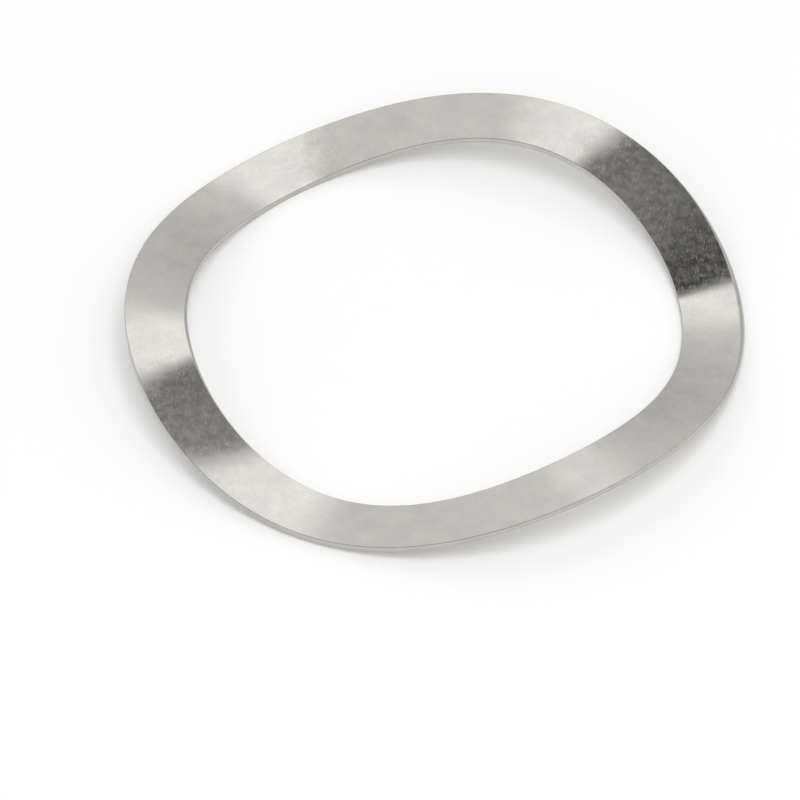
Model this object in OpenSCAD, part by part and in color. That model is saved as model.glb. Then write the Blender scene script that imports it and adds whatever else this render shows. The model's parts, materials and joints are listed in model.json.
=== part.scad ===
// Wave spring washer: one ring punched from spring steel strip and pressed into even waves.
// It lies free on its troughs. Its bore stands along Z and its first trough is on +X.

/* [Ring] */
// Outside diameter, a little under the housing bore that the ring lies in
outer_d = 39.5; // [36:0.5:60]
// Width of the band, from its rim to its bore
band_w = 4; // [1.5:0.25:12]
// Thickness of the sheet, square to its surface
thickness = 0.4; // [0.2:0.05:0.8]

/* [Waves] */
// Free height of the ring, from the feet of its troughs to the top of its crests
free_height = 3; // [1.2:0.1:6]
// Number of waves around the ring
waves = 3; // [2:1:6]

/* [Edges] */
// Radius that tumbling leaves on the punched edges
edge_r = 0.1; // [0.02:0.01:0.1]

/* [Fineness] */
// Flat strips along half a wave
half_wave_strips = 20; // [12:2:30]
// Flat strips around each tumbled edge
edge_strips = 2; // [1:1:3]

/* [Hidden] */
outer_r = outer_d / 2;
inner_r = outer_r - band_w;
mean_r = outer_r - band_w / 2;

strips = 2 * waves * half_wave_strips;
strip_angle = 360 / strips;

// A strip lies level on each crest and in each trough, so these strips reach the full free height
amplitude = (free_height - thickness) / 2 / cos(waves * strip_angle / 2);

// The rough sheet stands past both walls until they are trimmed round
trim = 0.005;
overrun = outer_r * (1 / cos(strip_angle / 2) - 1) + trim;

// A thin sheet wears to a smaller radius, so that a flat wall is left between its edges
edge_share = 0.4;
edge = min(edge_r, edge_share * thickness);

// The trimming tools stand past the ring above and below
tool_reach = 1;
tool_h = free_height + 2 * tool_reach;

steel = [0.72, 0.72, 0.7];
round_fn = 180;

// Height of the sheet's middle at an angle around the ring, and how steeply it climbs there
function middle(angle) = free_height / 2 - amplitude * cos(waves * angle);
function climb(angle) = atan(waves * amplitude * sin(waves * angle) / mean_r);

// A quarter round of the section, as points of radius and height
function tumbled_edge(r, z, from) = [
    for (k = [0 : edge_strips])
        let (turn = from + 90 * k / edge_strips)
        [r + edge * cos(turn), z + edge * sin(turn)]
];

// The section of the rough sheet around its middle: rim below and above, then bore above and below
rim = outer_r + overrun - edge;
bore = inner_r - overrun + edge;
flat = thickness / 2 - edge;
section = concat(
    tumbled_edge(rim, -flat, -90),
    tumbled_edge(rim, flat, 0),
    tumbled_edge(bore, flat, 90),
    tumbled_edge(bore, -flat, 180)
);

// The section set at an angle around the ring, with its thickness kept square to the climb
function station(angle) = [
    for (p = section)
        [p[0] * cos(angle), p[0] * sin(angle), middle(angle) + p[1] / cos(climb(angle))]
];

// The sheet with its waves, swept through stations at the ends of the strips
module rough_sheet() {
    count = len(section);
    points = [for (i = [0 : strips - 1]) each station((i + 0.5) * strip_angle)];
    faces = [
        for (i = [0 : strips - 1], j = [0 : count - 1])
            let (
                here = i * count,
                ahead = (i + 1) % strips * count,
                next = (j + 1) % count
            )
            each [
                [here + j, ahead + j, ahead + next],
                [here + j, ahead + next, here + next]
            ]
    ];
    polyhedron(points, faces, convexity = 2 * waves);
}

module trimming_tool(r) {
    translate([0, 0, -tool_reach])
        cylinder(r = r, h = tool_h, $fn = round_fn);
}

module wave_washer() {
    color(steel)
        difference() {
            intersection() {
                rough_sheet();
                trimming_tool(outer_r);
            }
            trimming_tool(inner_r);
        }
}

wave_washer();
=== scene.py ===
import json
from math import atan, atan2, cos, pi, radians, sin

import bpy
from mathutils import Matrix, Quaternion, Vector


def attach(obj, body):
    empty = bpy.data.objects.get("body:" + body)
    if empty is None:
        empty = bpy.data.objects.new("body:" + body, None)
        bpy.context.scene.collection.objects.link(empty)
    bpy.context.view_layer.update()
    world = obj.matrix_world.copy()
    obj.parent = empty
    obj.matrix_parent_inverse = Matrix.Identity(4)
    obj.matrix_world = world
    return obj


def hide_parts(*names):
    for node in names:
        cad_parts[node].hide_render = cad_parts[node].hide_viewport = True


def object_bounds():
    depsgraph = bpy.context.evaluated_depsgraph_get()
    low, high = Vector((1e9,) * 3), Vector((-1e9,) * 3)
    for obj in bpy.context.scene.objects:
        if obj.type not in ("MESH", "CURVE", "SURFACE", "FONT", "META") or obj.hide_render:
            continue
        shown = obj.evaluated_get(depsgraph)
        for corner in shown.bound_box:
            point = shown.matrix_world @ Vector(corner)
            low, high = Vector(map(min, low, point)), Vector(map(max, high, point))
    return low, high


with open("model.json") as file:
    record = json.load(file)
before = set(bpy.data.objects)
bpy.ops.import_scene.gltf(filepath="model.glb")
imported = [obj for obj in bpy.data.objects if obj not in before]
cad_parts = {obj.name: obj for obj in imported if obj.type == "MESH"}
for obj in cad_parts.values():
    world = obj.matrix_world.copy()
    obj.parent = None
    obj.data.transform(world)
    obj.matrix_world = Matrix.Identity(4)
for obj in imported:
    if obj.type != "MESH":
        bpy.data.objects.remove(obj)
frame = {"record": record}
cad_low, cad_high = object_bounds()

# The washer is one ring of cold-rolled spring steel strip. It is punched from the strip, pressed
# into three even waves and tumbled, which rounds its edges and leaves fine marks all over it.
# Nothing fixes it: it lies free on its three troughs.
mm = 0.001
mounts = {mount["name"]: mount for mount in frame["record"]["mounts"]}
rim_r = mounts["rim"]["dims"]["r_mm"] * mm
bore_r = mounts["bore"]["dims"]["r_mm"] * mm
mean_r = (rim_r + bore_r) / 2
band_w = rim_r - bore_r
free_height = cad_high.z - cad_low.z
sheet_t = 0.4 * mm
waves = 3

# Its section is drawn first, as a plane standing on the X axis. Its corners are rounded, its face is
# taken away, and its two long sides are cut into strips.
edge_r = 0.055 * mm
edge_steps = 6
band_cuts = 13
bpy.ops.object.select_all(action="DESELECT")
bpy.ops.mesh.primitive_plane_add(size=1, location=(mean_r, 0, 0), rotation=(pi / 2, 0, 0))
washer = bpy.context.active_object
washer.name = "spring_washer"
washer.scale = (band_w, sheet_t, 1)
bpy.ops.object.transform_apply(location=True, rotation=True, scale=True)
bpy.ops.object.mode_set(mode="EDIT")
bpy.ops.mesh.select_all(action="SELECT")
bpy.ops.mesh.bevel(offset=edge_r, segments=edge_steps, affect="VERTICES")
bpy.ops.mesh.select_all(action="SELECT")
bpy.ops.mesh.delete(type="ONLY_FACE")
bpy.ops.object.mode_set(mode="OBJECT")
for edge in washer.data.edges:
    ends = [washer.data.vertices[i].co for i in edge.vertices]
    edge.select = (ends[0] - ends[1]).length > band_w / 2
bpy.ops.object.mode_set(mode="EDIT")
bpy.ops.mesh.subdivide(number_cuts=band_cuts)

# The section is spun once around the bore, which makes the flat ring that the punch leaves.
ring_steps = 480
weld = 0.001 * mm
bpy.ops.mesh.select_all(action="SELECT")
bpy.ops.mesh.spin(steps=ring_steps, angle=2 * pi, center=(0, 0, 0), axis=(0, 0, 1))
bpy.ops.mesh.select_all(action="SELECT")
bpy.ops.mesh.remove_doubles(threshold=weld)
bpy.ops.mesh.normals_make_consistent(inside=False)
bpy.ops.object.mode_set(mode="OBJECT")

# The walls that the punch cut, and the edges around them, aren't level, and take the second finish
# below. The two finishes meet on a sharp line, so that the rolled faces keep their true slope up to it.
level = 0.995
borders = {}
for face in washer.data.polygons:
    face.material_index = int(abs(face.normal.z) < level)
    for key in face.edge_keys:
        borders.setdefault(key, set()).add(face.material_index)
for edge in washer.data.edges:
    edge.use_edge_sharp = len(borders[edge.key]) > 1

# The place of each point through the sheet, from -1 below to 1 above, is kept for the punched walls.
through = washer.data.attributes.new("through_sheet", "FLOAT", "POINT")
for point, kept in zip(washer.data.vertices, through.data):
    kept.value = point.co.z / (sheet_t / 2)

# The punch was not quite centred over its die. It rolled two upper edges over further: the rim's near
# +X and the bore's near -X. Each has its wall, the angle of its middle and its radius there.
rolled_edges = ((rim_r, radians(2), 0.32 * mm), (bore_r, radians(180), 0.22 * mm))
roll_spread = 12
edge_reach = edge_r + weld
for point in washer.data.vertices:
    for wall_r, roll_az, roll_r in rolled_edges:
        radius = point.co.xy.length
        if abs(wall_r - radius) > edge_reach or sheet_t / 2 - point.co.z > edge_reach:
            continue
        facing = max(0, cos(atan2(point.co.y, point.co.x) - roll_az)) ** roll_spread
        widen = 1 + (roll_r / edge_r - 1) * facing
        point.co.xy *= (wall_r - (wall_r - radius) * widen) / radius
        point.co.z = sheet_t / 2 - (sheet_t / 2 - point.co.z) * widen

# The press gives each point the height of the wave at its angle, with the sheet's thickness kept
# square. It also leaves the band slightly dished, with the bore a little lower than the rim.
dish = 0.16 * mm
wave_rise = (free_height - sheet_t - dish) / 2
for point in washer.data.vertices:
    angle = atan2(point.co.y, point.co.x)
    across = (point.co.xy.length - mean_r) / band_w
    climb = atan(waves * wave_rise * sin(waves * angle) / mean_r)
    middle = cad_low.z + free_height / 2 - wave_rise * cos(waves * angle)
    point.co.z = middle + dish * across + point.co.z / cos(climb)
washer.data.update()

bpy.ops.object.select_all(action="DESELECT")
washer.select_set(True)
bpy.context.view_layer.objects.active = washer
bpy.ops.object.shade_smooth(keep_sharp_edges=True)


def add(tree, kind, values=None, **settings):
    """A node of that kind in a tree, with its settings and the values of its inputs."""
    node = tree.nodes.new(kind)
    for name, value in settings.items():
        setattr(node, name, value)
    for socket, value in (values or {}).items():
        node.inputs[socket].default_value = value
    return node


def ramp(tree, value, start, end, low=0, high=1, **settings):
    """An output that runs from low to high, and no further, as a value goes from start to end."""
    reach = {"From Min": start, "From Max": end, "To Min": low, "To Max": high}
    node = add(tree, "ShaderNodeMapRange", reach, **settings)
    tree.links.new(value, node.inputs["Value"])
    return node.outputs["Result"]


def combine(tree, operation, first, second):
    """An output that a maths operation makes of two others."""
    node = add(tree, "ShaderNodeMath", operation=operation)
    tree.links.new(first, node.inputs[0])
    tree.links.new(second, node.inputs[1])
    return node.outputs["Value"]


# Tumbling leaves clouds, specks and short scratches, which the rolled faces and the punched walls share.
marks = bpy.data.node_groups.new("tumbling_marks", "ShaderNodeTree")
marks.interface.new_socket("Place", in_out="INPUT", socket_type="NodeSocketVector")
for mark in ("Clouds", "Specks", "Scratches"):
    marks.interface.new_socket(mark, in_out="OUTPUT", socket_type="NodeSocketFloat")
marks_in = add(marks, "NodeGroupInput")
marks_out = add(marks, "NodeGroupOutput")

# Clouds and specks are soft blotches. Each has its size, its detail and the levels it is cut between.
blotches = {"Clouds": (1.8 * mm, 4, 0.36, 0.64), "Specks": (0.5 * mm, 3, 0.38, 0.72)}
for mark, (size, detail, faint, full) in blotches.items():
    noise = add(marks, "ShaderNodeTexNoise", {"Scale": 1 / size, "Detail": detail, "Roughness": 0.6})
    marks.links.new(marks_in.outputs["Place"], noise.inputs["Vector"])
    marks.links.new(ramp(marks, noise.outputs["Fac"], faint, full), marks_out.inputs[mark])

# The scratches lie in five directions, each a noise drawn out along its own line.
scratch_w = 0.07 * mm
scratch_l = 0.55 * mm
scratch_faint = 0.63
scratch_full = 0.76
scratch_turns = (14, 52, 83, 121, 158)
scratches = None
for turn in scratch_turns:
    lay = add(marks, "ShaderNodeMapping")
    lay.inputs["Location"].default_value = (turn, turn, 0)
    lay.inputs["Rotation"].default_value = (0, 0, radians(turn))
    lay.inputs["Scale"].default_value = (1 / scratch_w, 1 / scratch_l, 0)
    grain = add(marks, "ShaderNodeTexNoise", {"Scale": 1, "Detail": 2, "Roughness": 0.5})
    marks.links.new(marks_in.outputs["Place"], lay.inputs["Vector"])
    marks.links.new(lay.outputs["Vector"], grain.inputs["Vector"])
    cut = ramp(marks, grain.outputs["Fac"], scratch_faint, scratch_full)
    scratches = cut if scratches is None else combine(marks, "MAXIMUM", scratches, cut)
marks.links.new(scratches, marks_out.inputs["Scratches"])


def steel(name, warm, cool):
    """Gives the washer a steel with the tumbling marks, which drifts from a warm to a cool grey."""
    material = bpy.data.materials.new(name)
    material.use_nodes = True
    tree = material.node_tree
    shader = tree.nodes["Principled BSDF"]
    shader.inputs["Metallic"].default_value = 1
    place = add(tree, "ShaderNodeTexCoord")
    worn = add(tree, "ShaderNodeGroup", node_tree=marks)
    tint = add(tree, "ShaderNodeMix", {"A": warm, "B": cool}, data_type="RGBA")
    tree.links.new(place.outputs["Object"], worn.inputs["Place"])
    tree.links.new(worn.outputs["Clouds"], tint.inputs["Factor"])
    tree.links.new(tint.outputs["Result"], shader.inputs["Base Color"])
    washer.data.materials.append(material)
    return tree, shader, worn


def weighed(tree, base, weights, outputs):
    """An output that adds to a base value each of the named outputs times its weight."""
    total = None
    for name, weight in weights.items():
        term = add(tree, "ShaderNodeMath", {1: weight, 2: base}, operation="MULTIPLY_ADD")
        tree.links.new(outputs[name], term.inputs[0])
        if total is not None:
            tree.links.new(total, term.inputs[2])
        total = term.outputs["Value"]
    return total


def dent(tree, shader, depth, height):
    """Gives a steel its relief. Where the height falls by 1, the dent is as deep as depth."""
    bump = add(tree, "ShaderNodeBump", {"Strength": 1, "Distance": depth})
    tree.links.new(height, bump.inputs["Height"])
    tree.links.new(bump.outputs["Normal"], shader.inputs["Normal"])


# The rolled faces are bright, slightly warm steel. They mirror clearly, and the marks scatter a little
# light: they make the steel duller, hazier and uneven.
rolled_warm = (0.646, 0.618, 0.582, 1)
rolled_cool = (0.574, 0.566, 0.548, 1)
rolled_roughness = 0.05
rolled_dull = {"Clouds": 0.02, "Specks": 0.04, "Scratches": 0.08}
rolled_haze = {"Specks": -0.16, "Scratches": -0.3}
rolled_relief = {"Specks": 0.4, "Scratches": -1}
rolled_dent = 0.0003 * mm
tree, shader, worn = steel("rolled_steel", rolled_warm, rolled_cool)
tree.links.new(weighed(tree, rolled_roughness, rolled_dull, worn.outputs), shader.inputs["Roughness"])
tree.links.new(weighed(tree, 1, rolled_haze, worn.outputs), shader.inputs["Metallic"])
dent(tree, shader, rolled_dent, weighed(tree, 0, rolled_relief, worn.outputs))

# The punched walls are darker and duller. Fine lines run up them from the punch, which cut their upper
# part smooth and tore the lower part. Both parts end at places through the sheet.
punched_warm = (0.58, 0.563, 0.535, 1)
punched_cool = (0.53, 0.526, 0.51, 1)
punched_roughness = 0.24
punched_dull = {"Torn": 0.16, "Lines": 0.16, "Specks": 0.1}
punched_relief = {"Lines": 1, "Specks": 0.5}
punched_dent = 0.004 * mm
line_w = 0.05 * mm
line_l = 0.8 * mm
cut_until = 0.25
torn_from = -0.15
tree, shader, worn = steel("punched_steel", punched_warm, punched_cool)
wall_place = add(tree, "ShaderNodeTexCoord")
along = add(tree, "ShaderNodeMapping", {"Scale": (1 / line_w, 1 / line_w, 1 / line_l)})
lines = add(tree, "ShaderNodeTexNoise", {"Scale": 1, "Detail": 2, "Roughness": 0.6})
sheet_depth = add(tree, "ShaderNodeAttribute", attribute_name="through_sheet")
tree.links.new(wall_place.outputs["Object"], along.inputs["Vector"])
tree.links.new(along.outputs["Vector"], lines.inputs["Vector"])
traces = {
    "Torn": ramp(tree, sheet_depth.outputs["Fac"], cut_until, torn_from),
    "Lines": lines.outputs["Fac"],
    "Specks": worn.outputs["Specks"],
}
tree.links.new(weighed(tree, punched_roughness, punched_dull, traces), shader.inputs["Roughness"])
dent(tree, shader, punched_dent, weighed(tree, 0, punched_relief, traces))

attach(washer, "root")
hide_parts("wave_washer")

# The floor is a sheet of matt white paper, far larger than the washer. It looks white to the camera
# and in the steel, and it keeps the washer's shadow.
floor_size = 1.6
paper_white = 0.9
paper_lift = 0.15
bpy.ops.object.select_all(action="DESELECT")
bpy.ops.mesh.primitive_plane_add(size=floor_size, location=(0, 0, cad_low.z))
floor = bpy.context.active_object
floor.name = "floor"
paper = bpy.data.materials.new("white_paper")
paper.use_nodes = True
tree = paper.node_tree
tree.nodes.remove(tree.nodes["Principled BSDF"])
matt = add(tree, "ShaderNodeBsdfDiffuse", {"Color": (paper_white, paper_white, paper_white, 1)})
glow = add(tree, "ShaderNodeEmission")
rays = add(tree, "ShaderNodeLightPath")
looked_at = combine(tree, "MAXIMUM", rays.outputs["Is Camera Ray"], rays.outputs["Is Glossy Ray"])
lit_paper = add(tree, "ShaderNodeAddShader")
tree.links.new(ramp(tree, looked_at, 0, 1, 0, paper_lift), glow.inputs["Strength"])
tree.links.new(matt.outputs["BSDF"], lit_paper.inputs[0])
tree.links.new(glow.outputs["Emission"], lit_paper.inputs[1])
tree.links.new(lit_paper.outputs["Shader"], tree.nodes["Material Output"].inputs["Surface"])
floor.data.materials.append(paper)

# The studio is a pale tent under an unlit roof with a white window at its top. The walls are brighter
# above than below, and one soft box shines through the wall behind the washer.
world = bpy.data.worlds.new("light_tent")
bpy.context.scene.world = world
world.use_nodes = True
tree = world.node_tree
sky = tree.nodes["Background"]
look = add(tree, "ShaderNodeTexCoord")
split = add(tree, "ShaderNodeSeparateXYZ")
tree.links.new(look.outputs["Generated"], split.inputs["Vector"])
sideways = split.outputs["X"]

# Each stop up the walls and the roof has its elevation in degrees and its light. The ramp's own last
# stop is the white window.
wall_stops = (
    (0, 0.75), (9, 0.6), (18, 0.59), (26, 0.7),
    (38, 0.845), (44, 0.885), (50, 0.84), (54.8, 0.87),
)
roof_stops = ((57.8, 0.16), (61, 0.14), (69, 0.15), (73, 0.7))
tent = add(tree, "ShaderNodeValToRGB")
tent.color_ramp.elements.remove(tent.color_ramp.elements[0])
for elevation, light in wall_stops + roof_stops:
    stop = tent.color_ramp.elements.new(sin(radians(elevation)))
    stop.color = (light, light, light, 1)

# The roof's edge hangs a little lower to the left of the soft box and to its right. Each dip has the
# places where it starts and ends, from -1 at the tent's left to 1 at its right, and its drop.
roof_dips = ((0.12, 0.03, 0.014), (0.2, 0.27, 0.008))
height = split.outputs["Z"]
for start, end, drop in roof_dips:
    height = combine(tree, "ADD", height, ramp(tree, sideways, start, end, 0, drop))
tree.links.new(height, tent.inputs["Fac"])
tree.links.new(tent.outputs["Color"], sky.inputs["Color"])

# The soft box brightens the wall around it.
box_az = radians(11)
box_el = radians(52.5)
box_spread = radians(17)
box_light = 1.5
box_way = (sin(box_az) * cos(box_el), cos(box_az) * cos(box_el), sin(box_el))
facing_box = add(tree, "ShaderNodeVectorMath", {1: box_way}, operation="DOT_PRODUCT")
tree.links.new(look.outputs["Generated"], facing_box.inputs[0])
nearness = facing_box.outputs["Value"]
wall_light = ramp(tree, nearness, cos(box_spread), 1, 1, box_light, interpolation_type="SMOOTHSTEP")

# The roof grows lighter from left to right. Its light and the walls' light meet on its blurred edge.
roof_el = radians(56.3)
roof_blur = 0.015
roof_left = 0.04
roof_right = 0.24
left_light = 0.5
right_light = 1.9
roof_light = ramp(tree, sideways, roof_left, roof_right, left_light, right_light)
under_roof = ramp(tree, height, sin(roof_el) + roof_blur, sin(roof_el) - roof_blur)
tent_light = add(tree, "ShaderNodeMix", data_type="FLOAT")
tree.links.new(under_roof, tent_light.inputs["Factor"])
tree.links.new(roof_light, tent_light.inputs["A"])
tree.links.new(wall_light, tent_light.inputs["B"])

# The tent is a little brighter on its left side and darker on its right. Each side has the places
# where its change starts and ends, and its light.
tent_sides = ((-0.25, -0.7, 1.1), (0.35, 0.7, 0.95))
strength = tent_light.outputs["Result"]
for start, end, light in tent_sides:
    strength = combine(tree, "MULTIPLY", strength, ramp(tree, sideways, start, end, 1, light))
tree.links.new(strength, sky.inputs["Strength"])

# To the camera itself, all that lies past the paper is white.
past_paper = add(tree, "ShaderNodeBackground", {"Color": (1, 1, 1, 1), "Strength": 1})
rays = add(tree, "ShaderNodeLightPath")
backdrop = add(tree, "ShaderNodeMixShader")
tree.links.new(rays.outputs["Is Camera Ray"], backdrop.inputs["Fac"])
tree.links.new(sky.outputs["Background"], backdrop.inputs[1])
tree.links.new(past_paper.outputs["Background"], backdrop.inputs[2])
tree.links.new(backdrop.outputs["Shader"], tree.nodes["World Output"].inputs["Surface"])

# A wide soft box hangs over the washer, a little before it and to its right. It gives the washer the
# soft shadow close around its band.
top_size = 0.52
top_place = Vector((0.08, -0.26, 0.8))
top_power = 2.4
top_turn = top_place.to_track_quat("Z", "Y").to_euler()
bpy.ops.object.light_add(type="AREA", location=top_place, rotation=top_turn)
top_box = bpy.context.active_object
top_box.name = "top_box"
top_box.data.size = top_size
top_box.data.energy = top_power
top_box.visible_glossy = False

# The camera stands far off behind a long lens, which the parallel view stands for. The middle of the
# ring lies to the right of the picture's middle and above it.
picture_px = 800
view_w = 51 * mm
view_az = radians(-3.9)
view_el = radians(45.5)
view_roll = radians(-1.32)
ring_px = Vector((434.6, 321))
ring_point = Vector((0, 0, 1.7 * mm))
camera_distance = 0.4
lens = bpy.data.cameras.new("camera")
lens.type = "ORTHO"
lens.ortho_scale = view_w
camera = bpy.data.objects.new("camera", lens)
bpy.context.scene.collection.objects.link(camera)
view_back = Vector((sin(view_az) * cos(view_el), -cos(view_az) * cos(view_el), sin(view_el)))
view_turn = (-view_back).to_track_quat("-Z", "Y") @ Quaternion((0, 0, 1), view_roll)
px = view_w / picture_px
aside = (ring_px.x - picture_px / 2) * px
above = (picture_px / 2 - ring_px.y) * px
camera.rotation_mode = "QUATERNION"
camera.rotation_quaternion = view_turn
camera.location = ring_point + view_back * camera_distance - view_turn @ Vector((aside, above, 0))
bpy.context.scene.camera = camera

bpy.context.scene.view_settings.view_transform = "Standard"
